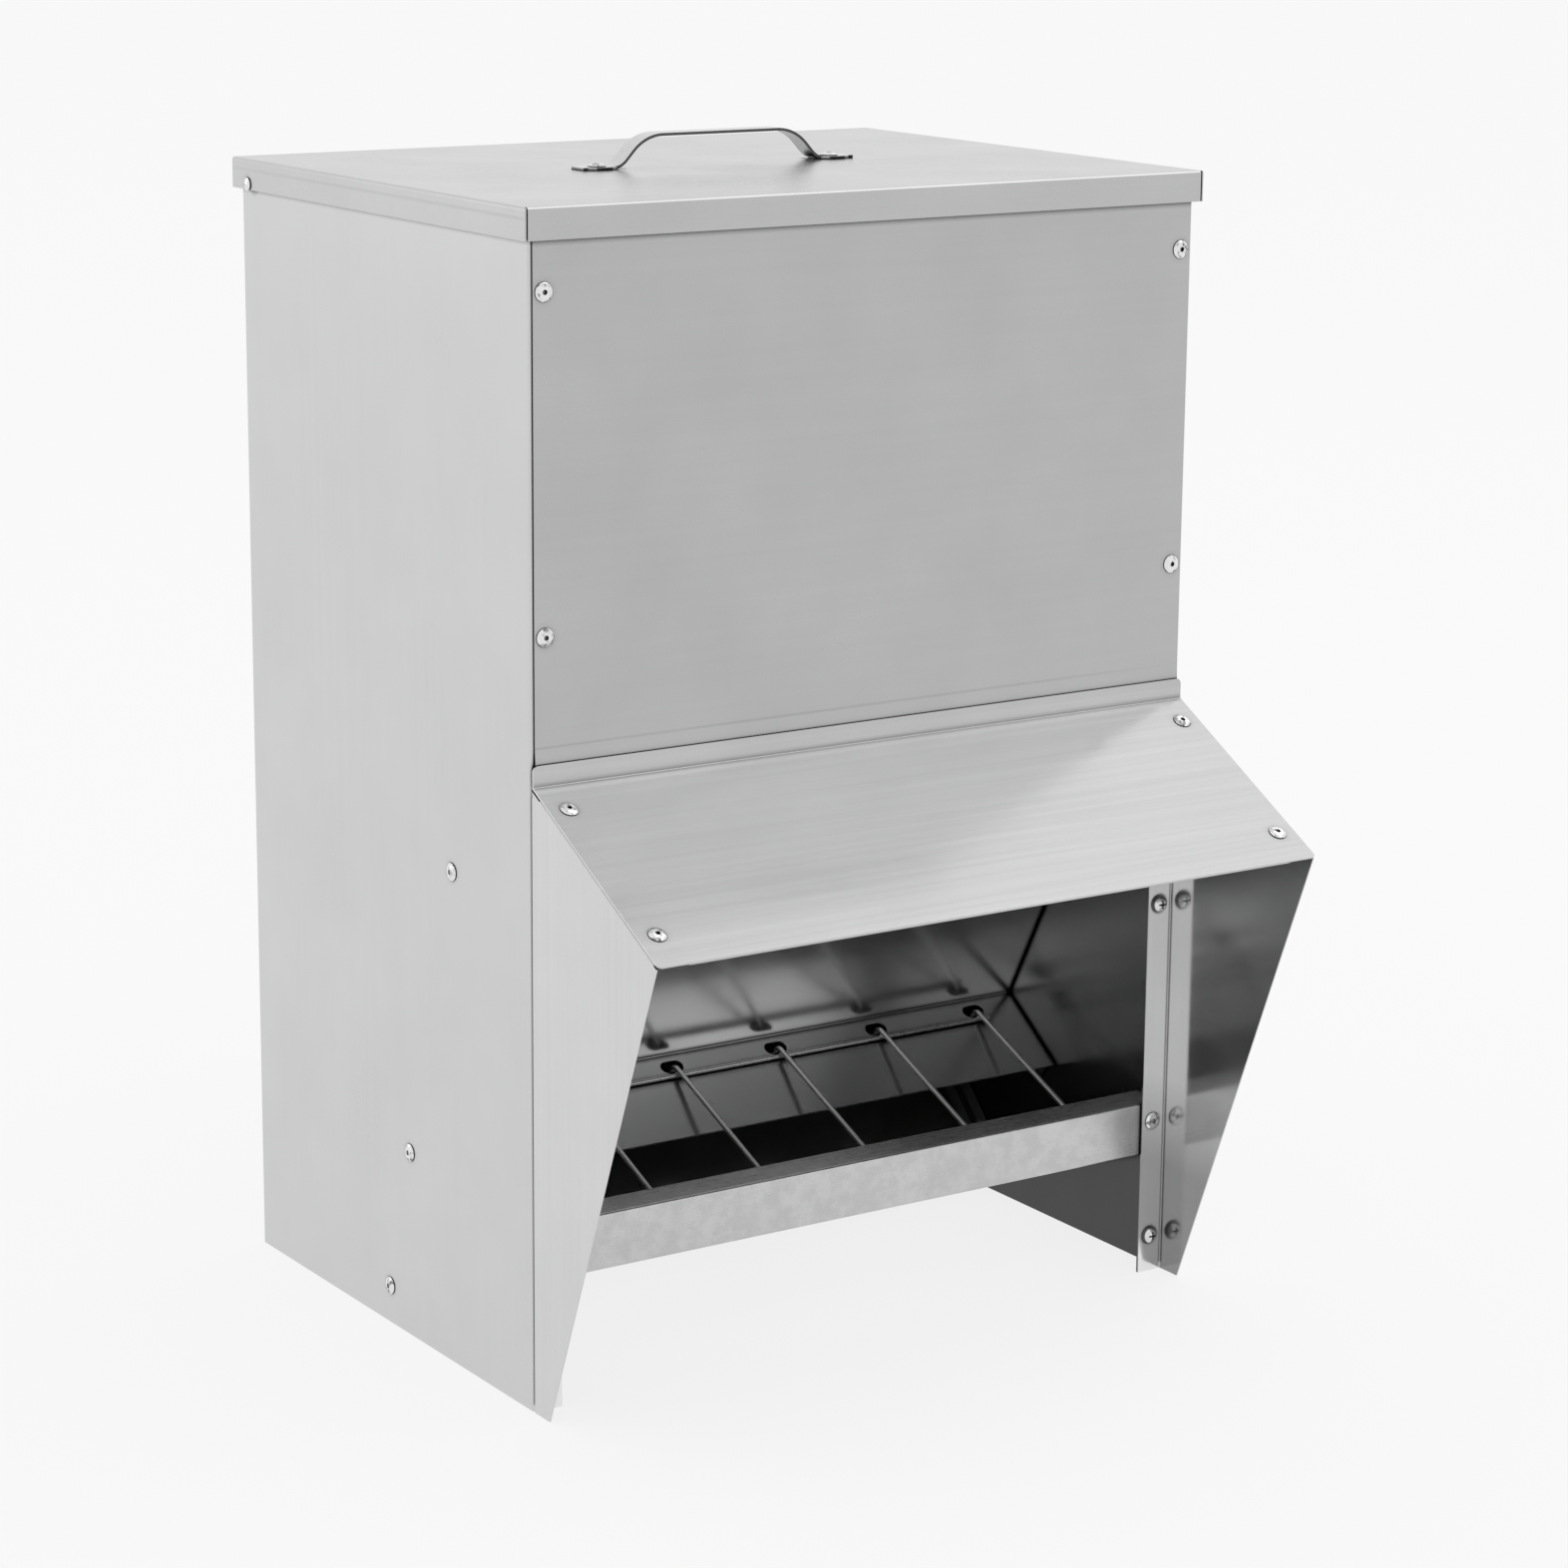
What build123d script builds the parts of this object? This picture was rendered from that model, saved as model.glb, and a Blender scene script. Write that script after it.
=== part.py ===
from build123d import *
import os
from math import asin, cos, radians, sin, tan

# Galvanised poultry feeder: a riveted sheet hopper with a hinged lid, a rain hood on two
# wings, a sloping baffle, a trough and a wire grid that saves feed.
# Millimetres, +Z up, the feeding side faces -Y. The origin is under the middle of the whole
# feeder, so the front of the body stands at y = front and its back at y = back.
os.makedirs("parts", exist_ok=True)

# Sheet metal
sheet = 0.8
bend = 1.2
flange = 16.0
hem_pitch = 1.2
hem_width = 8.0
edge_gap = 0.9
relief = 3.0

# Body
body_width = 400.0
body_depth = 300.0
corner_radius = 12.0
pivot_height = 590.0
pivot_inset = 14.0
lid_swing = 75.0

# Lid
lid_overhang = 3.6
lid_gap = 0.3
skirt_height = 16.0
skirt_slit = 0.8

# Front and back panels
panel_inset = 2.0
front_panel_lap = 1.4
front_panel_drop = 2.0
joggle_gap = 1.0
joggle_length = 7.0
back_panel_drop = 11.0

# Hood and wings
hood_reach = 117.6
hood_angle = 28.5
hood_bend_height = 322.4
hood_upstand = 11.0
hood_corner_radius = 3.0
wing_foot = 15.6
wing_hem_bottom = 30.0
wing_tab_rise = 10.6
wing_flange_back_gap = 8.0
wing_flange_front_gap = 4.0

# Feed baffle, places measured back from the front of the body
baffle_top = 404.0
baffle_bend = 388.0
fold_back = 143.4
fold_height = 123.0
baffle_edge_back = 97.7
baffle_edge_height = 91.1
baffle_side_flange = 15.0
slot_length = 14.0
slot_width = 8.0
slot_from_fold = 9.0

# Trough and hopper floor
lip_top = 96.8
lip_bottom = 68.0
lip_flange = 21.0
trough_back = 150.6
trough_height = 12.0
floor_angle = 45.0
trough_lap = 18.0
floor_start = 3.0
floor_side_flange = 12.0
floor_upstand = 24.0

# Grid
bar_diameter = 3.0
rod_diameter = 2.5
bar_pitch = 67.3
bar_count = 6
bar_bend_radius = 4.5
bar_tip_back = 10.0
bar_tip_height = 68.8
hook_height = 2.6
hook_from_slot_middle = 1.3
hook_tail = 9.0
rod_gap = 0.3
weld_sink = 0.4
rod_overhang = 6.0

# Handle
handle_foot_middle = 72.0
handle_foot_length = 23.0
handle_foot_width = 17.0
handle_strap_width = 12.0
handle_thickness = 1.5
handle_rise = 16.0
handle_top_half = 46.0
handle_knee = 61.0
handle_top_radius = 24.0
handle_knee_radius = 11.0

# Blind rivets
rivet_head_diameter = 9.5
rivet_head_height = 1.4
rivet_rim = 0.4
rivet_diameter = 4.8
rivet_bore = 2.6
rivet_bore_depth = 1.0
rivet_tail_diameter = 7.0
rivet_tail = 4.5
fit = 0.05
drill_depth = 8.0

# Screws, washers and nuts
screw_head_diameter = 8.4
screw_head_height = 2.8
screw_rim = 0.8
screw_diameter = 4.5
screw_reach = 5.5
cross_width = 1.0
cross_length = 4.6
cross_depth = 1.6
washer_diameter = 9.6
washer_thickness = 0.9
nut_across_flats = 8.0
nut_thickness = 3.2

# Lid pivots
pivot_diameter = 4.0
pivot_head_diameter = 7.0
pivot_head_height = 1.5
pivot_collar_diameter = 6.4
pivot_play = 0.2
pivot_tail_diameter = 6.0
pivot_tail = 1.5

# Heights and places of the fasteners
panel_rivet_inset = 8.0
front_rivet_drop = 37.5
back_rivet_drop = 31.0
back_rivet_heights = (347.0, 130.0, 26.0)
flange_fastener_inset = 9.0
flange_screw_heights = (209.6, 20.8)
lip_rivet_height = 86.6
hood_rivet_inset = 11.0
hood_rivet_places = (18.0, 110.0)
baffle_rivet_places = ((79.5, 262.7), (127.2, 101.0))
floor_rivet = (150.6, 20.5)
floor_back_rivet_pitch = 120.0
floor_back_rivet_rise = 14.0
seam_rivet_pitch = 130.0
seam_rivet_place = 10.0

# Places worked out from the sizes above
half = body_width / 2
inside = half - sheet
side_height = pivot_height + corner_radius
front = (hood_reach - body_depth - lid_overhang) / 2
back = front + body_depth
panel_half = half - panel_inset
inner_half = inside - edge_gap
pivot_y = back - pivot_inset
lid_half = half + lid_overhang
lid_top = side_height + lid_gap + sheet
back_panel_top = pivot_height - back_panel_drop
front_panel_top = side_height - front_panel_drop
front_panel_bottom = hood_bend_height - front_panel_lap
wing_tab_top = hood_bend_height + wing_tab_rise
front_rivet_high = front_panel_top - front_rivet_drop
front_rivet_low = baffle_top - flange / 2
outer_bend = bend + sheet / 2
rivet_radius = rivet_diameter / 2
hole_radius = rivet_radius + fit


def across(y, z):
    """A place in the upright plane that runs from front to back."""
    return Vector(0, y, z)


def toward(start, end):
    """Unit vector from one place to another."""
    return (end - start).normalized()


def section_on(plane, points):
    """The cut face of a folded sheet, drawn on a plane of its own."""
    with BuildSketch(plane) as cut:
        with BuildLine():
            FilletPolyline(*points, radius=bend)
        trace(line_width=sheet)
    return cut.sketch


def section(points):
    """The cut face of a folded sheet whose middle line runs through (y, z) points."""
    return section_on(Plane.YZ, points)


def hem_section(plane, edge, width, turn):
    """A sheet edge folded flat: it ends at y = edge of the plane and comes back by width."""
    radius = hem_pitch / 2
    with BuildSketch(plane) as cut:
        with BuildLine():
            leg = Line((edge[0], edge[1] - width), (edge[0], edge[1] - radius - sheet / 2))
            fold = JernArc(start=leg @ 1, tangent=leg % 1, radius=radius, arc_size=turn * 180)
            Line(fold @ 1, fold @ 1 + (0, -width + outer_bend))
        trace(line_width=sheet)
    return cut.sketch


def outline(points):
    """A closed flat shape in the upright plane that runs from front to back."""
    with BuildSketch(Plane.YZ) as shape:
        with BuildLine():
            Polyline(*points, close=True)
        make_face()
    return shape.sketch


def facing(x, y, z, normal):
    """A plane for a fastener: its head looks along the normal."""
    return Plane(origin=(x, y, z), z_dir=normal)


def dome(top, radius, height):
    """The arc from the middle of a domed end down to its rim. Its centre lies on the axis."""
    ball = (radius**2 + height**2) / (2 * abs(height))
    half_turn = asin(radius / ball) / 2
    drop = ball * (1 - cos(half_turn)) * (1 if height > 0 else -1)
    return ThreePointArc(top, (ball * sin(half_turn), top[1] - drop), (radius, top[1] - height))


def blind_rivet(grip):
    """A set blind rivet, its head above z = 0 and its tail under a stack of sheets."""
    head = rivet_head_diameter / 2
    bore = rivet_bore / 2
    tail = rivet_tail_diameter / 2
    top = rivet_head_height
    with BuildPart() as rivet:
        with BuildSketch(Plane.XZ):
            with BuildLine():
                Polyline((head, rivet_rim), (head, 0), (rivet_radius, 0), (rivet_radius, -grip))
                Polyline((rivet_radius, -grip), (tail, -grip - rivet_rim), (tail, -grip - rivet_tail / 2))
                dome((0, -grip - rivet_tail), tail, -rivet_tail / 2)
                Line((0, -grip - rivet_tail), (0, top - rivet_bore_depth))
                Polyline((0, top - rivet_bore_depth), (bore, top - rivet_bore_depth), (bore, top))
                ThreePointArc((bore, top), (head * 0.72, top * 0.82), (head, rivet_rim))
            make_face()
        revolve(axis=Axis.Z)
    return rivet.part


def group(piece, planes):
    """Copies of one fastener, each on its own plane."""
    with BuildPart() as fasteners:
        with Locations(*planes):
            add(piece)
    return fasteners.part


def drill(planes, radius):
    """Round cutters through the thin sheets at fasteners."""
    with BuildPart() as cutters:
        with Locations(*planes):
            Cylinder(radius, drill_depth)
    return cutters.part


def finish(piece, name):
    """Label one piece and write it to its own file."""
    piece.label = name
    export_step(piece, f"parts/{name}.step")


# Directions of the sloping sheets
hood_bend_point = across(front - 2.5 * sheet, hood_bend_height)
hood_down = across(-cos(radians(hood_angle)), -sin(radians(hood_angle)))
hood_up = across(-sin(radians(hood_angle)), cos(radians(hood_angle)))
hood_length = (hood_reach - 2.5 * sheet - sheet / 2 * sin(radians(hood_angle))) / cos(radians(hood_angle))
hood_edge = hood_bend_point + hood_down * hood_length
flange_line = hood_bend_point - hood_up * sheet
wing_tip = hood_bend_point + hood_down * (hood_length - 1.0) - hood_up * outer_bend
wing_rear_top = hood_bend_point - hood_up * outer_bend
wing_foot_point = across(front - wing_foot, 0)
wing_edge_down = toward(wing_tip, wing_foot_point)
wing_edge_out = across(wing_edge_down.Z, -wing_edge_down.Y)
baffle_shoulder = across(front + 1.5 * sheet, baffle_bend)
baffle_fold = across(front + fold_back, fold_height)
baffle_edge = across(front + baffle_edge_back, baffle_edge_height)
upper_down = toward(baffle_shoulder, baffle_fold)
lower_down = toward(baffle_fold, baffle_edge)
upper_inner = across(-upper_down.Z, upper_down.Y)
lower_inner = across(-lower_down.Z, lower_down.Y)
trough_point = across(front + trough_back, trough_height)
floor_up = across(cos(radians(floor_angle)), sin(radians(floor_angle)))
floor_inner = across(-sin(radians(floor_angle)), cos(radians(floor_angle)))
floor_line = trough_point + floor_inner * sheet
floor_back_y = back - sheet / 2
floor_length = (floor_back_y - floor_line.Y) / cos(radians(floor_angle))
floor_bend_point = floor_line + floor_up * floor_length

# Places of the fasteners
panel_rivet_x = half - panel_rivet_inset
flange_x = half - flange_fastener_inset
hood_rivet_x = half - hood_rivet_inset
forward = (0, -1, 0)
backward = (0, 1, 0)
panel_rivet_sides = (-panel_rivet_x, panel_rivet_x)
front_high_planes = [facing(x, front - sheet, front_rivet_high, forward) for x in panel_rivet_sides]
front_low_planes = [facing(x, front - sheet, front_rivet_low, forward) for x in panel_rivet_sides]
back_rivet_rows = (back_panel_top - back_rivet_drop, *back_rivet_heights)
back_planes = [
    facing(x, back + sheet, z, backward) for x in panel_rivet_sides for z in back_rivet_rows
]
floor_back_planes = [
    facing(x, back + sheet, floor_bend_point.Z + floor_back_rivet_rise, backward)
    for x in (-floor_back_rivet_pitch, 0, floor_back_rivet_pitch)
]
hood_planes = []
for x in (-hood_rivet_x, hood_rivet_x):
    for place in hood_rivet_places:
        seat = hood_bend_point + hood_down * place + hood_up * (sheet / 2)
        hood_planes.append(facing(x, seat.Y, seat.Z, hood_up))
seam_planes = []
for x in (-seam_rivet_pitch, 0, seam_rivet_pitch):
    seat = trough_point + floor_up * seam_rivet_place - floor_inner * (sheet / 2)
    seam_planes.append(facing(x, seat.Y, seat.Z, floor_inner * -1))
side_places = [*baffle_rivet_places, floor_rivet]
left_side_planes = [facing(-half, front + y, z, (-1, 0, 0)) for y, z in side_places]
left_lip_plane = facing(-flange_x, front - sheet, lip_rivet_height, forward)
left_screw_planes = [facing(-flange_x, front - sheet, z, forward) for z in flange_screw_heights]
left_pivot_plane = facing(-half, pivot_y, pivot_height, (-1, 0, 0))
handle_planes = [
    facing(x, (front + back) / 2, lid_top + handle_thickness, (0, 0, 1))
    for x in (-handle_foot_middle, handle_foot_middle)
]

# Side panel: a U in plan, its flanges turned inward at the front and the back
with BuildPart() as left_side_panel:
    with BuildSketch(Plane.XY):
        with BuildLine():
            FilletPolyline(
                (-half + flange, front + sheet / 2),
                (-half + sheet / 2, front + sheet / 2),
                (-half + sheet / 2, back - sheet / 2),
                (-half + flange, back - sheet / 2),
                radius=bend,
            )
        trace(line_width=sheet)
    extrude(amount=side_height)
    # The top rear corner is round about the lid pivot, so that the lid can swing past it
    swing_end = across(
        pivot_y + corner_radius * sin(radians(lid_swing)),
        pivot_height + corner_radius * cos(radians(lid_swing)),
    )
    beyond = 2 * corner_radius
    slope_end = swing_end + across(cos(radians(lid_swing)), -sin(radians(lid_swing))) * beyond
    with BuildSketch(Plane.YZ):
        with BuildLine():
            ThreePointArc(
                (pivot_y, side_height),
                (
                    pivot_y + corner_radius * sin(radians(lid_swing / 2)),
                    pivot_height + corner_radius * cos(radians(lid_swing / 2)),
                ),
                (swing_end.Y, swing_end.Z),
            )
            Polyline(
                (swing_end.Y, swing_end.Z),
                (slope_end.Y, slope_end.Z),
                (slope_end.Y + beyond, slope_end.Z),
                (slope_end.Y + beyond, side_height + beyond),
                (pivot_y, side_height + beyond),
                (pivot_y, side_height),
            )
        make_face()
    extrude(amount=body_width, both=True, mode=Mode.SUBTRACT)
    add(drill(front_high_planes + front_low_planes + back_planes, hole_radius), mode=Mode.SUBTRACT)
    add(drill(left_side_planes + [left_lip_plane], hole_radius), mode=Mode.SUBTRACT)
    add(drill(left_screw_planes, screw_diameter / 2 + fit), mode=Mode.SUBTRACT)
    add(drill([left_pivot_plane], pivot_diameter / 2 + fit), mode=Mode.SUBTRACT)

with BuildPart() as right_side_panel:
    mirror(left_side_panel.part, about=Plane.YZ)

# Front panel, with a small step forward that clears the tops of the wing flanges
with BuildPart() as front_panel:
    step_bottom = wing_tab_top + joggle_gap
    extrude(
        section(
            [
                (front - sheet / 2, front_panel_top),
                (front - sheet / 2, step_bottom + joggle_length),
                (front - sheet * 1.5, step_bottom),
                (front - sheet * 1.5, front_panel_bottom),
            ]
        ),
        amount=panel_half,
        both=True,
    )
    add(drill(front_high_planes + front_low_planes, hole_radius), mode=Mode.SUBTRACT)

with BuildPart() as back_panel:
    with BuildSketch(Plane.XZ.offset(-back)):
        with Locations((0, back_panel_top / 2)):
            Rectangle(2 * panel_half, back_panel_top)
    extrude(amount=-sheet)
    add(drill(back_planes + floor_back_planes, hole_radius), mode=Mode.SUBTRACT)

# Hood: an upright flange against the front panel, a long slope and a hem under its front edge
hood_hem_half = half - flange - 1.5
with BuildPart() as hood:
    extrude(
        section(
            [
                (hood_bend_point.Y, hood_bend_point.Z + hood_upstand),
                (hood_bend_point.Y, hood_bend_point.Z),
                (hood_edge.Y, hood_edge.Z),
            ],
        ),
        amount=half,
        both=True,
    )
    hood_section_plane = Plane(
        origin=(0, hood_bend_point.Y, hood_bend_point.Z), x_dir=hood_up, z_dir=hood_up.cross(hood_down)
    )
    extrude(
        hem_section(hood_section_plane, (0, hood_length), hem_width, 1),
        amount=hood_hem_half,
        both=True,
    )
    upstand_corners = hood.edges().filter_by(Axis.Y).group_by(Axis.Z)[-1]
    fillet(upstand_corners, hood_corner_radius)
    end_edges = hood.edges().filter_by(lambda edge: abs(edge.center().X) > hood_hem_half + edge_gap)
    upright_edges = end_edges.filter_by(lambda edge: abs((edge % 0.5).dot(hood_up)) > 0.999)
    fillet(upright_edges.group_by(Axis.Y)[0], hood_corner_radius)
    add(drill(hood_planes, hole_radius), mode=Mode.SUBTRACT)

# Wing: an upright cheek flush with the side, a flange behind it, one under the hood and a hem
with BuildPart() as left_wing:
    plate_back = front - outer_bend
    rear_top_z = wing_rear_top.Z - tan(radians(hood_angle)) * (wing_rear_top.Y - plate_back)
    extrude(
        outline(
            [
                (plate_back, 0),
                (plate_back, rear_top_z),
                (wing_tip.Y, wing_tip.Z),
                (wing_foot_point.Y, 0),
            ]
        ).moved(Location((-half, 0, 0))),
        amount=sheet,
    )
    # Rear flange, folded off the plate
    fold_top = rear_top_z - relief
    extrude(
        section_on(
            Plane.XY,
            [
                (-half + flange, front - sheet / 2),
                (-half + sheet / 2, front - sheet / 2),
                (-half + sheet / 2, front - 2 * outer_bend),
            ],
        ),
        amount=fold_top,
    )
    with BuildSketch(Plane.XZ.offset(-front)):
        with Locations((-half + (panel_inset + flange) / 2, (fold_top - relief + wing_tab_top) / 2)):
            Rectangle(flange - panel_inset, wing_tab_top - fold_top + relief)
    extrude(amount=sheet)
    # Top flange, along the underside of the hood
    top_start = flange_line + hood_down * wing_flange_back_gap
    top_length = hood_length - wing_flange_back_gap - wing_flange_front_gap
    top_plane = Plane(origin=top_start, x_dir=(1, 0, 0), z_dir=hood_down)
    extrude(
        section_on(
            top_plane,
            [
                (-half + flange, 0),
                (-half + sheet / 2, 0),
                (-half + sheet / 2, -2 * outer_bend),
            ],
        ),
        amount=top_length,
    )
    # Front edge, folded flat on the inner face
    hem_start = wing_tip + wing_edge_down * hem_width
    hem_length = (hem_start.Z - wing_hem_bottom) / -wing_edge_down.Z
    hem_plane = Plane(origin=hem_start, x_dir=(1, 0, 0), z_dir=wing_edge_down)
    extrude(
        hem_section(hem_plane, (-half + sheet / 2, 0), hem_width, -1),
        amount=hem_length,
    )
    add(drill(hood_planes + [left_lip_plane], hole_radius), mode=Mode.SUBTRACT)
    add(drill(left_screw_planes, screw_diameter / 2 + fit), mode=Mode.SUBTRACT)

with BuildPart() as right_wing:
    mirror(left_wing.part, about=Plane.YZ)

# Feed baffle: held behind the front flanges, sloping back to a fold and then forward again
web_half = inside - outer_bend
with BuildPart() as feed_baffle:
    extrude(
        section(
            [
                (baffle_shoulder.Y, baffle_top),
                (baffle_shoulder.Y, baffle_shoulder.Z),
                (baffle_fold.Y, baffle_fold.Z),
                (baffle_edge.Y, baffle_edge.Z),
            ],
        ),
        amount=inner_half,
        both=True,
    )
    lower_length = (baffle_edge - baffle_fold).length
    baffle_hem_plane = Plane(
        origin=baffle_fold, x_dir=lower_inner, z_dir=lower_inner.cross(lower_down)
    )
    extrude(
        hem_section(baffle_hem_plane, (0, lower_length), hem_width, -1),
        amount=inner_half - baffle_side_flange,
        both=True,
    )
    # Side flanges, turned back against the side panels, stop short of the bends
    for start, down, inner, length in (
        (baffle_shoulder, upper_down, upper_inner, (baffle_fold - baffle_shoulder).length),
        (baffle_fold, lower_down, lower_inner, lower_length - outer_bend),
    ):
        for side in (-1, 1):
            strip_plane = Plane(origin=start + down * 2 * relief, x_dir=(1, 0, 0), z_dir=down)
            up = 1 if strip_plane.y_dir.dot(inner) > 0 else -1
            extrude(
                section_on(
                    strip_plane,
                    [
                        (side * (web_half - relief), 0),
                        (side * (inside - sheet / 2), 0),
                        (side * (inside - sheet / 2), up * baffle_side_flange),
                    ],
                ),
                amount=length - 3 * relief,
            )
    slot_plane = Plane(origin=baffle_fold + lower_down * slot_from_fold, x_dir=(1, 0, 0), z_dir=lower_inner)
    with BuildSketch(slot_plane):
        with GridLocations(bar_pitch, 0, bar_count, 1):
            SlotOverall(slot_length, slot_width)
    extrude(amount=2 * sheet, both=True, mode=Mode.SUBTRACT)
    add(drill(front_low_planes, hole_radius), mode=Mode.SUBTRACT)
    right_side_planes = [facing(half, front + y, z, (1, 0, 0)) for y, z in baffle_rivet_places]
    add(drill(left_side_planes + right_side_planes, hole_radius), mode=Mode.SUBTRACT)

# Trough pan: a lip with a return flange, a floor that falls to the back and a short upturn
trough_lap_end = trough_point + floor_up * trough_lap
with BuildPart() as trough_pan:
    extrude(
        section(
            [
                (front + sheet + lip_flange, lip_top - sheet / 2),
                (front + sheet * 1.5, lip_top - sheet / 2),
                (front + sheet * 1.5, lip_bottom),
                (trough_point.Y, trough_point.Z),
                (trough_lap_end.Y, trough_lap_end.Z),
            ],
        ),
        amount=inner_half,
        both=True,
    )
    lip_planes = [facing(x, front - sheet, lip_rivet_height, forward) for x in (-flange_x, flange_x)]
    add(drill(lip_planes + seam_planes, hole_radius), mode=Mode.SUBTRACT)

# Hopper floor: from the trough up to the back panel, with flanges on its sides and its back
with BuildPart() as hopper_floor:
    floor_plane = Plane(origin=floor_line + floor_up * floor_start, x_dir=(1, 0, 0), z_dir=floor_up)
    side_up = 1 if floor_plane.y_dir.dot(floor_inner) > 0 else -1
    extrude(
        section_on(
            floor_plane,
            [
                (-inside + sheet / 2, side_up * floor_side_flange),
                (-inside + sheet / 2, 0),
                (inside - sheet / 2, 0),
                (inside - sheet / 2, side_up * floor_side_flange),
            ],
        ),
        amount=floor_length - floor_start,
    )
    # The rear corners are notched for the rear flanges of the side panels
    with Locations((0, back, floor_bend_point.Z)):
        Box(body_width, 2 * (sheet + outer_bend), 4 * flange, mode=Mode.SUBTRACT)
    back_run = floor_bend_point - floor_up * 4 * outer_bend
    extrude(
        section(
            [
                (back_run.Y, back_run.Z),
                (floor_bend_point.Y, floor_bend_point.Z),
                (floor_bend_point.Y, floor_bend_point.Z + floor_upstand),
            ],
        ),
        amount=half - flange - 2 * edge_gap,
        both=True,
    )
    floor_side_planes = [
        facing(side * half, front + floor_rivet[0], floor_rivet[1], (side, 0, 0)) for side in (-1, 1)
    ]
    add(drill(floor_side_planes + floor_back_planes + seam_planes, hole_radius), mode=Mode.SUBTRACT)

# Lid: a flat top with skirts at the front and both sides, open at the back
top_middle = lid_top - sheet / 2
skirt_bottom = lid_top - skirt_height
skirt_x = lid_half - sheet / 2
lid_front = front - lid_overhang
lid_back = back + lid_overhang
with BuildPart() as lid:
    with BuildSketch(Plane.XZ.offset(-lid_back)):
        with BuildLine():
            FilletPolyline(
                (-skirt_x, skirt_bottom),
                (-skirt_x, top_middle),
                (skirt_x, top_middle),
                (skirt_x, skirt_bottom),
                radius=bend,
            )
        trace(line_width=sheet)
    extrude(amount=lid_back - lid_front)
    front_half = lid_half - sheet - skirt_slit
    with Locations((0, lid_front, lid_top)):
        Box(2 * (lid_half - sheet), 2 * outer_bend, 4 * outer_bend, mode=Mode.SUBTRACT)
    extrude(
        section(
            [
                (lid_front + sheet / 2, skirt_bottom),
                (lid_front + sheet / 2, top_middle),
                (lid_front + 3 * outer_bend, top_middle),
            ],
        ),
        amount=front_half,
        both=True,
    )
    add(drill(handle_planes, hole_radius), mode=Mode.SUBTRACT)
    with BuildSketch(Plane.YZ):
        with Locations((pivot_y, pivot_height)):
            Circle(pivot_diameter / 2 + fit)
    extrude(amount=2 * body_width, both=True, mode=Mode.SUBTRACT)

# Handle: a bent strap with widened feet
handle_y = (front + back) / 2
foot_end = handle_foot_middle + handle_foot_length / 2
with BuildPart() as lid_handle:
    foot_z = lid_top + handle_thickness / 2
    with BuildSketch(Plane.XZ.offset(-handle_y)):
        with BuildLine():
            FilletPolyline(
                (-foot_end, foot_z),
                (-handle_knee, foot_z),
                (-handle_top_half, foot_z + handle_rise),
                (handle_top_half, foot_z + handle_rise),
                (handle_knee, foot_z),
                (foot_end, foot_z),
                radius=[handle_knee_radius, handle_top_radius, handle_top_radius, handle_knee_radius],
            )
        trace(line_width=handle_thickness)
    extrude(amount=handle_strap_width / 2, both=True)
    with BuildSketch(Plane.XY.offset(lid_top)):
        with Locations((-handle_foot_middle, handle_y), (handle_foot_middle, handle_y)):
            SlotOverall(handle_foot_length, handle_foot_width)
    extrude(amount=handle_thickness)
    add(drill(handle_planes, hole_radius), mode=Mode.SUBTRACT)

# Blind rivets, each as long as its stack of sheets
two_sheets = blind_rivet(2 * sheet)
three_sheets = blind_rivet(3 * sheet)
handle_rivet = blind_rivet(handle_thickness + sheet)
with BuildPart() as front_panel_rivets:
    add(group(two_sheets, front_high_planes))
    add(group(three_sheets, front_low_planes))
back_panel_rivets = group(two_sheets, back_planes)
hopper_floor_rivets = group(two_sheets, floor_back_planes)
trough_seam_rivets = group(two_sheets, seam_planes)
hood_rivets = group(two_sheets, hood_planes)
left_side_rivets = group(two_sheets, left_side_planes)
left_lip_rivet = group(three_sheets, [left_lip_plane])
handle_rivets = group(handle_rivet, handle_planes)

# Screw with a rounded head and a crossed recess
with BuildPart() as screw:
    with BuildSketch(Plane.XZ):
        radius = screw_head_diameter / 2
        with BuildLine():
            Polyline((0, screw_head_height), (0, -screw_reach), (screw_diameter / 2, -screw_reach))
            Polyline((screw_diameter / 2, -screw_reach), (screw_diameter / 2, 0), (radius, 0))
            Line((radius, 0), (radius, screw_rim))
            dome((0, screw_head_height), radius, screw_head_height - screw_rim)
        make_face()
    revolve(axis=Axis.Z)
    with Locations((0, 0, screw_head_height)):
        Box(cross_length, cross_width, 2 * cross_depth, mode=Mode.SUBTRACT)
        Box(cross_width, cross_length, 2 * cross_depth, mode=Mode.SUBTRACT)

with BuildPart() as washer:
    with BuildSketch():
        Circle(washer_diameter / 2)
        Circle(screw_diameter / 2 + fit, mode=Mode.SUBTRACT)
    extrude(amount=washer_thickness)

with BuildPart() as nut:
    with BuildSketch(Plane.XY.offset(-2 * sheet)):
        RegularPolygon(nut_across_flats / 2, 6, major_radius=False)
        Circle(screw_diameter / 2 + fit, mode=Mode.SUBTRACT)
    extrude(amount=-nut_thickness)

screw_seats = [plane.offset(washer_thickness) for plane in left_screw_planes]
left_wing_screws = group(screw.part, screw_seats)
left_screw_washers = group(washer.part, left_screw_planes)
left_wing_nuts = group(nut.part, left_screw_planes)

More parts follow.
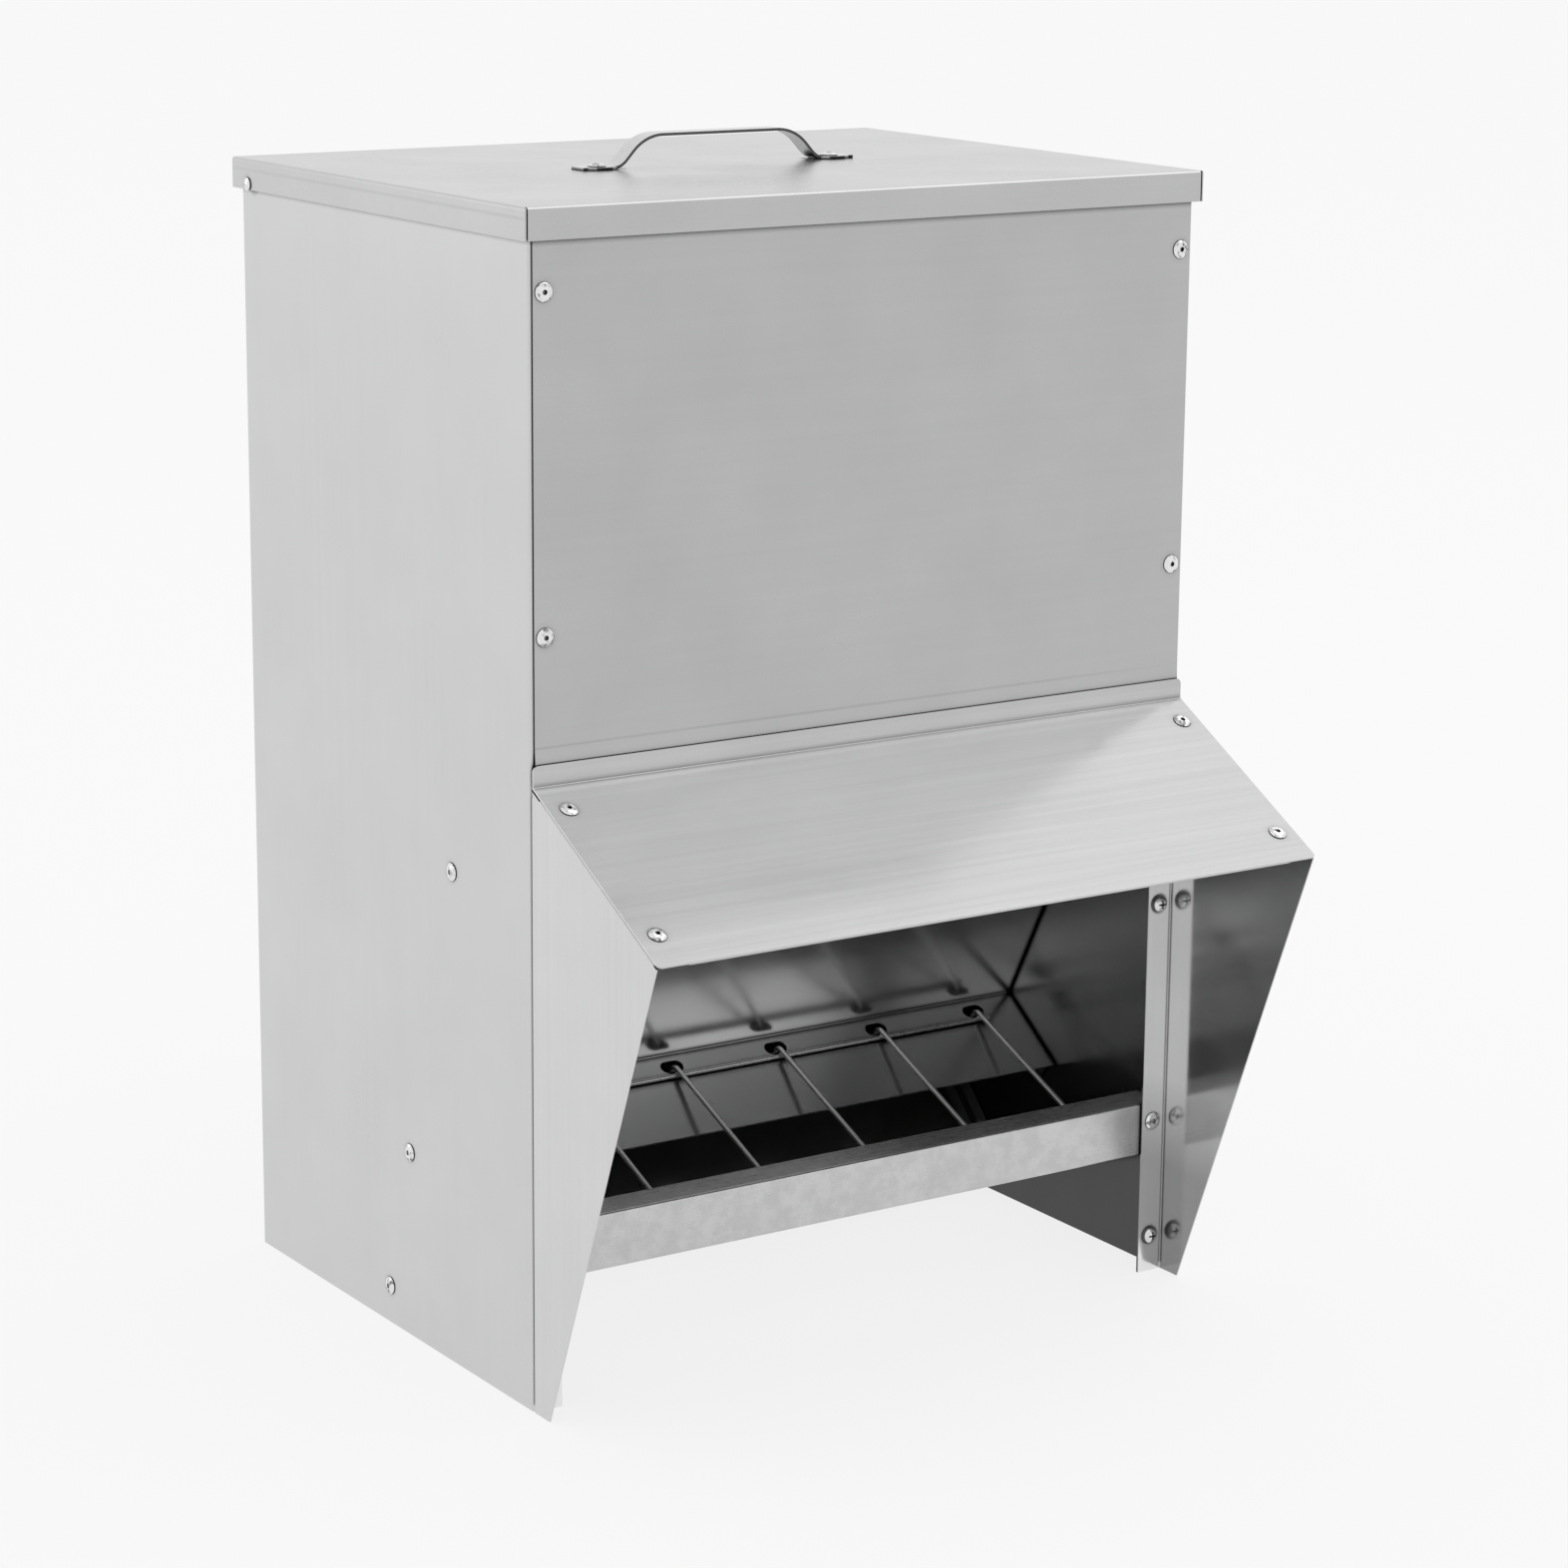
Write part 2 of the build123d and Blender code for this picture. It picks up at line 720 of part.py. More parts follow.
# Lid pivot: a headed pin through the skirt, with a collar in the gap and a tail in the side
with BuildPart() as pivot:
    pin = pivot_diameter / 2
    collar_top = lid_overhang - sheet - pivot_play
    head_bottom = lid_overhang + pivot_play
    with BuildSketch(Plane.XZ):
        with BuildLine():
            Polyline(
                (0, -sheet - pivot_tail),
                (pivot_tail_diameter / 2, -sheet - pivot_tail),
                (pivot_tail_diameter / 2, -sheet),
                (pin, -sheet),
                (pin, 0),
                (pivot_collar_diameter / 2, 0),
                (pivot_collar_diameter / 2, collar_top),
                (pin, collar_top),
                (pin, head_bottom),
                (pivot_head_diameter / 2, head_bottom),
                (pivot_head_diameter / 2, head_bottom + rivet_rim),
            )
            dome((0, head_bottom + pivot_head_height), pivot_head_diameter / 2, pivot_head_height - rivet_rim)
            Line((0, head_bottom + pivot_head_height), (0, -sheet - pivot_tail))
        make_face()
    revolve(axis=Axis.Z)
left_lid_pivot = group(pivot.part, [left_pivot_plane])

# Grid: bars under the lip flange at the front and hooked into the baffle slots at the back
slot_middle = baffle_fold + lower_down * slot_from_fold
plate_up = lower_inner * -1
bar_tip = across(front + bar_tip_back, bar_tip_height)
bar_hook = slot_middle + lower_down * hook_from_slot_middle + plate_up * (sheet / 2 + hook_height)
bar_end = bar_hook - plate_up * (sheet + hook_height + hook_tail)
bar_rise = toward(bar_tip, bar_hook)
with BuildPart() as bar:
    with BuildLine() as bar_path:
        FilletPolyline(bar_tip, bar_hook, bar_end, radius=bar_bend_radius)
    with BuildSketch(Plane(origin=bar_tip, z_dir=bar_rise)):
        Circle(bar_diameter / 2)
    sweep(path=bar_path.line)

with BuildPart() as grid_bars:
    with GridLocations(bar_pitch, 0, bar_count, 1):
        add(bar.part)

# The rod lies just above the baffle, where the bars come down to it
rod_height = sheet / 2 + rod_gap + rod_diameter / 2
weld_reach = (rod_diameter + bar_diameter) / 2 - weld_sink
bar_tilt = radians(lower_down.get_angle(bar_rise * -1))
rod_from_hook = (weld_reach / cos(bar_tilt) + rod_height - sheet / 2 - hook_height) / tan(bar_tilt)
rod_foot = slot_middle + lower_down * (hook_from_slot_middle + rod_from_hook) + plate_up * rod_height
rod_half = bar_pitch * (bar_count - 1) / 2 + rod_overhang
with BuildPart() as grid_cross_rod:
    with BuildSketch(Plane.YZ.offset(-rod_half)):
        with Locations((rod_foot.Y, rod_foot.Z)):
            Circle(rod_diameter / 2)
    extrude(amount=2 * rod_half)

finish(left_side_panel.part, "left_side_panel")
finish(right_side_panel.part, "right_side_panel")
finish(front_panel.part, "front_panel")
finish(back_panel.part, "back_panel")
finish(hood.part, "hood")
finish(left_wing.part, "left_wing")
finish(right_wing.part, "right_wing")
finish(feed_baffle.part, "feed_baffle")
finish(trough_pan.part, "trough_pan")
finish(hopper_floor.part, "hopper_floor")
finish(lid.part, "lid")
finish(lid_handle.part, "lid_handle")
finish(front_panel_rivets.part, "front_panel_rivets")
finish(back_panel_rivets, "back_panel_rivets")
finish(hopper_floor_rivets, "hopper_floor_rivets")
finish(trough_seam_rivets, "trough_seam_rivets")
finish(hood_rivets, "hood_rivets")
finish(handle_rivets, "handle_rivets")
finish(grid_bars.part, "grid_bars")
finish(grid_cross_rod.part, "grid_cross_rod")

# Fasteners on the left side, each with its mirror image on the right
for name, piece in (
    ("side_rivets", left_side_rivets),
    ("lip_rivet", left_lip_rivet),
    ("wing_screws", left_wing_screws),
    ("screw_washers", left_screw_washers),
    ("wing_nuts", left_wing_nuts),
    ("lid_pivot", left_lid_pivot),
):
    finish(piece, f"left_{name}")
    with BuildPart() as mirrored:
        mirror(piece, about=Plane.YZ)
    finish(mirrored.part, f"right_{name}")
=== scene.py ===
import math

import bmesh
import bpy
from mathutils import Matrix, Vector, noise


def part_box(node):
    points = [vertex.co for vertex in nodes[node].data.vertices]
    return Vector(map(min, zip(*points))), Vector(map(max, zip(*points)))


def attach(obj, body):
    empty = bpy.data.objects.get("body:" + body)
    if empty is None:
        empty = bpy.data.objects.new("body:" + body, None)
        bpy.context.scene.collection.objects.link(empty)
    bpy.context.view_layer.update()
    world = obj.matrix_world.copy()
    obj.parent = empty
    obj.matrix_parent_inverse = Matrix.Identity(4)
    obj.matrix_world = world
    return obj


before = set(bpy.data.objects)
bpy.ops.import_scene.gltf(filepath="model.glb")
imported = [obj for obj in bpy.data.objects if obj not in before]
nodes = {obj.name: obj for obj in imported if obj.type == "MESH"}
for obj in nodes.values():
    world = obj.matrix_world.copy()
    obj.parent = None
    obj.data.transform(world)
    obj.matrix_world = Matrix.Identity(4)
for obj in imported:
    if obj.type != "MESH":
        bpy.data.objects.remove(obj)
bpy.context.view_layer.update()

# The looks of a galvanised poultry feeder. Metres, +Z up, the feeding side faces -Y.
MM = 0.001

# Camera: fitted to the feeder's corners in the photograph's 1572 pixel frame
PHOTO_SIZE = 1572
FOCAL_PIXELS = 4235.0
SENSOR = 36.0
CAMERA_PLACE = Vector((-1.1996, -1.8192, 0.8008))
CAMERA_TURN = 0.5865
CAMERA_DIP = 0.2343
CAMERA_ROLL = 0.0091
CLIP_NEAR = 0.05
CLIP_FAR = 100.0

# Soft boxes: name, place, width, height and power in watts
LIGHT_TARGET = Vector((0.0, 0.0, 0.3))
SOFT_BOXES = (
    ("box_top", (1.7, -0.9, 3.2), 2.4, 2.4, 14.0),
    ("box_left", (-2.6, 2.4, 1.3), 2.2, 2.2, 6.0),
    ("box_right", (3.1, 0.9, 3.0), 2.2, 3.0, 6.0),
)

# Room and floor
ROOM_LEVEL = 0.93
PALE = 0.957
FLOOR_WHITE = 0.90
FLOOR_ROUGH = 0.9
FLOOR_GLOW = 0.86
FLOOR_HALF = 15.0
FLOOR_DROP = 0.2 * MM
FLOOR_CORNERS = ((-1, -1), (1, -1), (1, 1), (-1, 1))

# Painted shade in seams and at rims, from the ambient occlusion, and none right above the floor
ZINC = (0.995, 0.998, 1.0)
SEAM_SAMPLES = 8
SEAM_REACH = 4 * MM
NARROW_SEAM_REACH = 2 * MM
SEAM_SHADE_DARK = 0.06
SEAM_START = 0.62
SEAM_END = 0.97
FOOT_LOW = 3 * MM
FOOT_HIGH = 5 * MM

# Painted shade and highlight that depend on where a face is or looks
INSIDE_LOW = 60 * MM
INSIDE_HIGH = 110 * MM
INWARD_START = -0.9
INWARD_END = -0.3
FACING_START = 0.96
FACING_END = 0.99

# Sheet metal: noise cells to a metre, and how much each noise changes
NOISE_START = 0.3
NOISE_END = 0.7
GRAIN_ALONG = 9.0
GRAIN_OVER = 1500.0
GRAIN_DEPTH = 0.2 * MM
STREAK_ALONG = 3.0
STREAK_OVER = 260.0
STREAK_SHIFT = (3.1, 7.7, 1.3)
CLOUD_CELLS = 16.0
CLOUD_SHIFT = (1.7, 0.4, 5.2)
CLOUD_SHARE = 0.02
CLOUD_ROUGH = 0.03
PATCH_CELLS = 95.0
PATCH_SHIFT = (0.3, 2.4, 8.8)
PATCH_START = 0.42
PATCH_END = 0.58
SPECK_CELLS = 800.0
SPECK_LEVEL = 0.006
WAVE_CELLS = 5.0
WAVE_SHIFT = (4.0, 9.0, 2.0)
WAVE_DEPTH = 1.0 * MM
CREASE_WIDTH = 0.8 * MM
CREASE_DEPTH = 0.25 * MM
LID_CREASE_DROP = 5.5 * MM
PANEL_CREASE_RISE = 8.0 * MM

# Formed metal: scratches, and dark spots on rivet heads
SCRATCH_CELLS = 700.0
SCRATCH_DARK = 0.9
SCRATCH_BRIGHT = 1.06
SCRATCH_SMOOTH = 0.05
SCRATCH_DULL = 0.07
SCRATCH_DEPTH = 0.05 * MM
SCRATCH_STRENGTH = 0.5
SPOT_CELLS = 330.0
SPOT_SHIFT = (2.0, 6.0, 1.0)
SPOT_START = 0.36
SPOT_END = 0.48

# Broken pins in the bores of blind rivets. The profile is in shares of radius and bore depth.
HOOD_ANGLE = math.radians(28.5)
FLOOR_ANGLE = math.radians(45.0)
FASTENER_REACH = 15 * MM
RIM_DEPTH = 0.02 * MM
BORE_DEPTH = 1.0 * MM
STUB_RADIUS = 1.05 * MM
STUB_SIDES = 20
STUB_PROFILE = ((1.0, -0.99), (1.0, -0.40), (0.86, -0.28), (0.45, -0.33), (0.15, -0.45))

# Weld beads on the grid
BAR_ANGLE = math.radians(21.9)
BAR_GAP = 10 * MM
BEAD_SIZE = Vector((2.3, 1.9, 1.0)) * MM
BEAD_LIFT = 1.1 * MM
BEAD_SUBDIVISIONS = 3
BEAD_LUMP = 0.22
BEAD_LUMP_CELLS = 1.7
BEAD_LUMP_SHIFT = 900.0


def make_camera():
    """A plain camera, with no shift and no depth of field."""
    data = bpy.data.cameras.new("camera")
    data.sensor_width = SENSOR
    data.lens = FOCAL_PIXELS / PHOTO_SIZE * SENSOR
    data.clip_start = CLIP_NEAR
    data.clip_end = CLIP_FAR
    camera = bpy.data.objects.new("camera", data)
    bpy.context.scene.collection.objects.link(camera)
    flat_forward = Vector((math.sin(CAMERA_TURN), math.cos(CAMERA_TURN), 0.0))
    forward = flat_forward * math.cos(CAMERA_DIP) - Vector((0.0, 0.0, math.sin(CAMERA_DIP)))
    flat_right = Vector((math.cos(CAMERA_TURN), -math.sin(CAMERA_TURN), 0.0))
    flat_up = flat_right.cross(forward)
    right = flat_right * math.cos(CAMERA_ROLL) + flat_up * math.sin(CAMERA_ROLL)
    up = right.cross(forward)
    turn = Matrix((right, up, -forward)).transposed()
    camera.matrix_world = Matrix.Translation(CAMERA_PLACE) @ turn.to_4x4()
    bpy.context.scene.camera = camera


def make_lights():
    """Weak soft boxes about the feeder, which the camera doesn't see, in an even pale room."""
    for name, place, width, height, power in SOFT_BOXES:
        data = bpy.data.lights.new(name, "AREA")
        data.shape = "RECTANGLE"
        data.size = width
        data.size_y = height
        data.energy = power
        light = bpy.data.objects.new(name, data)
        light.location = place
        light.rotation_euler = (LIGHT_TARGET - Vector(place)).to_track_quat("-Z", "Y").to_euler()
        light.visible_camera = False
        bpy.context.scene.collection.objects.link(light)
    world = bpy.data.worlds.new("room")
    bpy.context.scene.world = world
    world.use_nodes = True
    background = world.node_tree.nodes["Background"]
    background.inputs["Color"].default_value = grey(ROOM_LEVEL)
    background.inputs["Strength"].default_value = 1.0


def grey(level):
    """A solid grey."""
    return (level, level, level, 1.0)


class Shader:
    """A small helper that makes the nodes of one material."""

    def __init__(self, name):
        self.material = bpy.data.materials.new(name)
        self.material.use_nodes = True
        self.tree = self.material.node_tree
        self.surface = self.tree.nodes["Principled BSDF"]

    def node(self, kind, **settings):
        """A new node with its settings."""
        made = self.tree.nodes.new(kind)
        for key, value in settings.items():
            setattr(made, key, value)
        return made

    def link(self, source, target):
        """Join an output with an input."""
        self.tree.links.new(source, target)

    def parts(self, coordinate):
        """X, Y and Z of a texture coordinate: Object is a place and Normal a direction."""
        coordinates = self.node("ShaderNodeTexCoord")
        split = self.node("ShaderNodeSeparateXYZ")
        self.link(coordinates.outputs[coordinate], split.inputs["Vector"])
        return split.outputs

    def noise(self, cells, detail=4.0, rough=0.55, shift=(0, 0, 0)):
        """Noise with so many cells to a metre, over all or along each axis."""
        coordinates = self.node("ShaderNodeTexCoord")
        mapping = self.node("ShaderNodeMapping")
        mapping.inputs["Scale"].default_value = (cells,) * 3 if isinstance(cells, float) else cells
        mapping.inputs["Location"].default_value = shift
        self.link(coordinates.outputs["Object"], mapping.inputs["Vector"])
        texture = self.node("ShaderNodeTexNoise")
        texture.inputs["Scale"].default_value = 1.0
        texture.inputs["Detail"].default_value = detail
        texture.inputs["Roughness"].default_value = rough
        self.link(mapping.outputs["Vector"], texture.inputs["Vector"])
        return texture.outputs["Fac"]

    def math(self, operation, first, second=0.0):
        """A sum, product or the like of numbers and outputs."""
        made = self.node("ShaderNodeMath", operation=operation)
        for slot, value in enumerate((first, second)):
            if isinstance(value, (int, float)):
                made.inputs[slot].default_value = value
            else:
                self.link(value, made.inputs[slot])
        return made.outputs[0]

    def remap(self, source, low, high, start=NOISE_START, end=NOISE_END):
        """A value that runs from low to high while its source runs from start to end."""
        made = self.node("ShaderNodeMapRange", clamp=True)
        made.inputs["From Min"].default_value = start
        made.inputs["From Max"].default_value = end
        made.inputs["To Min"].default_value = low
        made.inputs["To Max"].default_value = high
        self.link(source, made.inputs["Value"])
        return made.outputs["Result"]

    def seam_shade(self, reach, dark):
        """Painted shade: one on open metal and right above the floor, and falling to dark in seams and
        at rims.
        """
        shade = self.node("ShaderNodeAmbientOcclusion", samples=SEAM_SAMPLES)
        shade.inputs["Distance"].default_value = reach
        open_metal = self.remap(shade.outputs["AO"], dark, 1.0, SEAM_START, SEAM_END)
        foot = self.remap(self.parts("Object")["Z"], 1.0, 0.0, FOOT_LOW, FOOT_HIGH)
        return self.math("MAXIMUM", foot, open_metal)

    def painted_inner_shade(self, dim, foot_dim):
        """Painted shade: one outside, and dim on faces that look at the middle, most at the foot, as
        in the photo.
        """
        place = self.parts("Object")
        side = self.math("SIGN", place["X"])
        outward = self.math("MULTIPLY", side, self.parts("Normal")["X"])
        dimmed = self.remap(place["Z"], foot_dim, dim, INSIDE_LOW, INSIDE_HIGH)
        outer = self.remap(outward, 0.0, 1.0, INWARD_START, INWARD_END)
        inward = self.math("SUBTRACT", 1.0, outer)
        return self.math("ADD", outer, self.math("MULTIPLY", inward, dimmed))

    def painted_facing_light(self, axis, change):
        """One, and another level on the faces that look along an axis, such as cut edges: a painted
        highlight where that level is above one, and painted shade where it is below.
        """
        along = self.math("ABSOLUTE", self.parts("Normal")[axis])
        return self.remap(along, 1.0, change, FACING_START, FACING_END)

    def colour(self, level):
        """The tint of zinc times a level that varies over the surface."""
        made = self.node("ShaderNodeVectorMath", operation="SCALE")
        made.inputs[0].default_value = ZINC
        self.link(level, made.inputs["Scale"])
        self.link(made.outputs["Vector"], self.surface.inputs["Base Color"])

    def bump(self, height, distance, strength=1.0, below=None):
        """A bump of so much distance, on top of the bump below."""
        made = self.node("ShaderNodeBump")
        made.inputs["Strength"].default_value = strength
        made.inputs["Distance"].default_value = distance
        self.link(height, made.inputs["Height"])
        if below is not None:
            self.link(below, made.inputs["Normal"])
        return made.outputs["Normal"]

    def crease(self, height, below):
        """A faint fold line at one height of the object."""
        low, high = height - CREASE_WIDTH, height + CREASE_WIDTH
        step = self.remap(self.parts("Object")["Z"], 0.0, 1.0, low, high)
        return self.bump(step, CREASE_DEPTH, below=below)


def grain_scale(axis, along, over):
    """Noise cells to a metre: few along the rolling direction and many over it."""
    return tuple(along if letter == axis else over for letter in "XYZ")


def galvanised(
    name, axis, level, rough, streak=0.005, patch=0.0, metal=0.95, brushed=0.01,
    crease=None, inner_shade=None, painted_facing_light=None, reach=SEAM_REACH,
):
    """Zinc coated sheet: rolled streaks along one axis, cloudy zinc patches and slight waves."""
    shader = Shader(name)
    grain = shader.noise(grain_scale(axis, GRAIN_ALONG, GRAIN_OVER), detail=3.0)
    streaks = shader.noise(grain_scale(axis, STREAK_ALONG, STREAK_OVER), shift=STREAK_SHIFT)
    clouds = shader.noise(CLOUD_CELLS, detail=5.0, shift=CLOUD_SHIFT)
    patches = shader.noise(PATCH_CELLS, detail=6.0, rough=0.7, shift=PATCH_SHIFT)
    specks = shader.noise(SPECK_CELLS, detail=2.0)
    broad = shader.remap(clouds, level * (1 - CLOUD_SHARE), level * (1 + CLOUD_SHARE))
    lines = shader.remap(streaks, -streak, streak)
    dots = shader.remap(specks, -SPECK_LEVEL, SPECK_LEVEL)
    blotches = shader.remap(patches, -patch, patch, PATCH_START, PATCH_END)
    fine = shader.math("ADD", shader.math("ADD", lines, dots), blotches)
    bright = shader.math("ADD", broad, fine)
    # Faces that look inward are darker, most at the foot: painted shade.
    if inner_shade is not None:
        bright = shader.math("MULTIPLY", bright, shader.painted_inner_shade(*inner_shade))
    # Faces that look along one axis get another level: painted highlight above one, painted shade
    # below.
    if painted_facing_light is not None:
        bright = shader.math("MULTIPLY", bright, shader.painted_facing_light(*painted_facing_light))
    # The colour is multiplied by painted shade in seams and at rims, from the ambient occlusion.
    shader.colour(shader.math("MULTIPLY", bright, shader.seam_shade(reach, SEAM_SHADE_DARK)))
    cloudy = shader.remap(clouds, rough + CLOUD_ROUGH, rough - CLOUD_ROUGH)
    dull = shader.math("ADD", cloudy, shader.remap(grain, -brushed, brushed))
    shader.link(dull, shader.surface.inputs["Roughness"])
    shader.surface.inputs["Metallic"].default_value = metal
    waves = shader.noise(WAVE_CELLS, detail=1.0, shift=WAVE_SHIFT)
    shape = shader.bump(waves, WAVE_DEPTH)
    if crease is not None:
        shape = shader.crease(crease, shape)
    rolled = shader.bump(grain, brushed * GRAIN_DEPTH, below=shape)
    shader.link(rolled, shader.surface.inputs["Normal"])
    return shader.material


def bright_metal(name, level, rough, seam_shade_dark=SEAM_SHADE_DARK, painted_facing_light=None, spot_level=None):
    """Formed bright metal with fine scratches, for rivets, screws, strap and wire."""
    shader = Shader(name)
    marks = shader.noise(SCRATCH_CELLS)
    bright = shader.remap(marks, level * SCRATCH_DARK, level * SCRATCH_BRIGHT)
    # Faces that look along one axis get another level: painted highlight above one, painted shade
    # below.
    if painted_facing_light is not None:
        bright = shader.math("MULTIPLY", bright, shader.painted_facing_light(*painted_facing_light))
    if spot_level is not None:
        spots = shader.noise(SPOT_CELLS, detail=2.0, shift=SPOT_SHIFT)
        spots = shader.remap(spots, spot_level, 1.0, SPOT_START, SPOT_END)
        bright = shader.math("MULTIPLY", bright, spots)
    # The colour is multiplied by painted shade in seams and at rims, from the ambient occlusion.
    shader.colour(shader.math("MULTIPLY", bright, shader.seam_shade(NARROW_SEAM_REACH, seam_shade_dark)))
    dull = shader.remap(marks, rough - SCRATCH_SMOOTH, rough + SCRATCH_DULL)
    shader.link(dull, shader.surface.inputs["Roughness"])
    shader.surface.inputs["Metallic"].default_value = 1.0
    scratched = shader.bump(marks, SCRATCH_DEPTH, strength=SCRATCH_STRENGTH)
    shader.link(scratched, shader.surface.inputs["Normal"])
    return shader.material


def paint(material, *names):
    """Give a material to all the slots of CAD nodes."""
    for name in names:
        mesh = nodes[name].data
        if not mesh.materials:
            mesh.materials.append(material)
        for slot in nodes[name].material_slots:
            slot.material = material


def make_floor():
    """A wide pale floor. Camera, gloss and glass mostly see its own glow, under a soft shadow."""
    mesh = bpy.data.meshes.new("floor")
    corners = [(x * FLOOR_HALF, y * FLOOR_HALF, -FLOOR_DROP) for x, y in FLOOR_CORNERS]
    mesh.from_pydata(corners, [], [(0, 1, 2, 3)])
    floor = bpy.data.objects.new("floor", mesh)
    bpy.context.scene.collection.objects.link(floor)
    shader = Shader("pale_floor")
    shader.surface.inputs["Base Color"].default_value = grey(FLOOR_WHITE)
    shader.surface.inputs["Roughness"].default_value = FLOOR_ROUGH
    shader.surface.inputs["Specular IOR Level"].default_value = 0.0
    path = shader.node("ShaderNodeLightPath")
    gloss = shader.math("ADD", path.outputs["Is Glossy Ray"], path.outputs["Is Transmission Ray"])
    seen = shader.math("MINIMUM", shader.math("ADD", path.outputs["Is Camera Ray"], gloss), 1.0)
    glow = shader.node("ShaderNodeEmission")
    glow.inputs["Color"].default_value = grey(PALE)
    mix = shader.node("ShaderNodeMixShader")
    shader.link(shader.math("MULTIPLY", seen, FLOOR_GLOW), mix.inputs["Fac"])
    shader.link(shader.surface.outputs["BSDF"], mix.inputs[1])
    shader.link(glow.outputs["Emission"], mix.inputs[2])
    shader.link(mix.outputs["Shader"], shader.tree.nodes["Material Output"].inputs["Surface"])
    mesh.materials.append(shader.material)


def add_piece(name, form, material, body):
    """A piece of the object from a bmesh, on its body and with its finish."""
    mesh = bpy.data.meshes.new(name)
    bmesh.ops.recalc_face_normals(form, faces=form.faces)
    form.to_mesh(mesh)
    form.free()
    for polygon in mesh.polygons:
        polygon.use_smooth = True
    mesh.materials.append(material)
    piece = bpy.data.objects.new(name, mesh)
    bpy.context.scene.collection.objects.link(piece)
    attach(piece, body)


def fasteners(name):
    """The corners of each separate fastener in one CAD node."""
    groups = []
    for vertex in nodes[name].data.vertices:
        place = nodes[name].matrix_world @ vertex.co
        near = [group for group in groups if (place - group[0]).length < FASTENER_REACH]
        if near:
            near[0].append(place)
        else:
            groups.append([place])
    return groups


def head_top(group, normal):
    """The middle of the rim of the bore in a rivet's head."""
    top = max(place.dot(normal) for place in group)
    rim = [place for place in group if place.dot(normal) > top - RIM_DEPTH]
    return sum(rim, Vector()) / len(rim)


def lathe(form, seat, normal, profile):
    """Turn a profile of (radius, height) points about a fastener's axis, closed at both ends."""
    side = normal.orthogonal().normalized()
    other = normal.cross(side)
    rings = []
    for radius, height in profile:
        ring = []
        for step in range(STUB_SIDES):
            turn = math.tau * step / STUB_SIDES
            way = side * math.cos(turn) + other * math.sin(turn)
            ring.append(form.verts.new(seat + normal * height + way * radius))
        rings.append(ring)
    for lower, upper in zip(rings, rings[1:]):
        for step in range(STUB_SIDES):
            following = (step + 1) % STUB_SIDES
            form.faces.new((lower[step], lower[following], upper[following], upper[step]))
    form.faces.new(rings[0])
    form.faces.new(rings[-1])


def make_stubs(name, normals, material, body):
    """The broken ends of the pins that are left in blind rivets."""
    form = bmesh.new()
    profile = [(radius * STUB_RADIUS, height * BORE_DEPTH) for radius, height in STUB_PROFILE]
    for node_name, normal in normals.items():
        way = Vector(normal)
        for group in fasteners(node_name):
            lathe(form, head_top(group, way), way, profile)
    add_piece(name, form, material, body)


def bar_middles():
    """The sideways places of the grid's bars."""
    places = sorted(vertex.co.x for vertex in nodes["grid_bars"].data.vertices)
    groups = [[places[0]]]
    for place in places[1:]:
        if place - groups[-1][-1] > BAR_GAP:
            groups.append([])
        groups[-1].append(place)
    return [(group[0] + group[-1]) / 2 for group in groups]


def make_weld_beads(material):
    """A small uneven bead where each bar of the grid crosses the rod."""
    form = bmesh.new()
    rod_low, rod_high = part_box("grid_cross_rod")
    middle = (Vector(rod_low) + Vector(rod_high)) / 2
    sideways = Vector((1.0, 0.0, 0.0))
    upward = Vector((0.0, -math.sin(BAR_ANGLE), math.cos(BAR_ANGLE)))
    along = Vector((0.0, math.cos(BAR_ANGLE), math.sin(BAR_ANGLE)))
    for place in bar_middles():
        seat = Vector((place, middle.y, middle.z)) + upward * BEAD_LIFT
        ball = bmesh.ops.create_icosphere(form, subdivisions=BEAD_SUBDIVISIONS, radius=1.0)
        for vertex in ball["verts"]:
            spot = vertex.co * BEAD_LUMP_CELLS + seat * BEAD_LUMP_SHIFT
            offset = vertex.co * (1.0 + BEAD_LUMP * noise.noise(spot))
            vertex.co = (
                seat
                + sideways * offset.x * BEAD_SIZE.x
                + along * offset.y * BEAD_SIZE.y
                + upward * offset.z * BEAD_SIZE.z
            )
    add_piece("grid_weld_beads", form, material, "feed_grid")


make_camera()
make_lights()
make_floor()
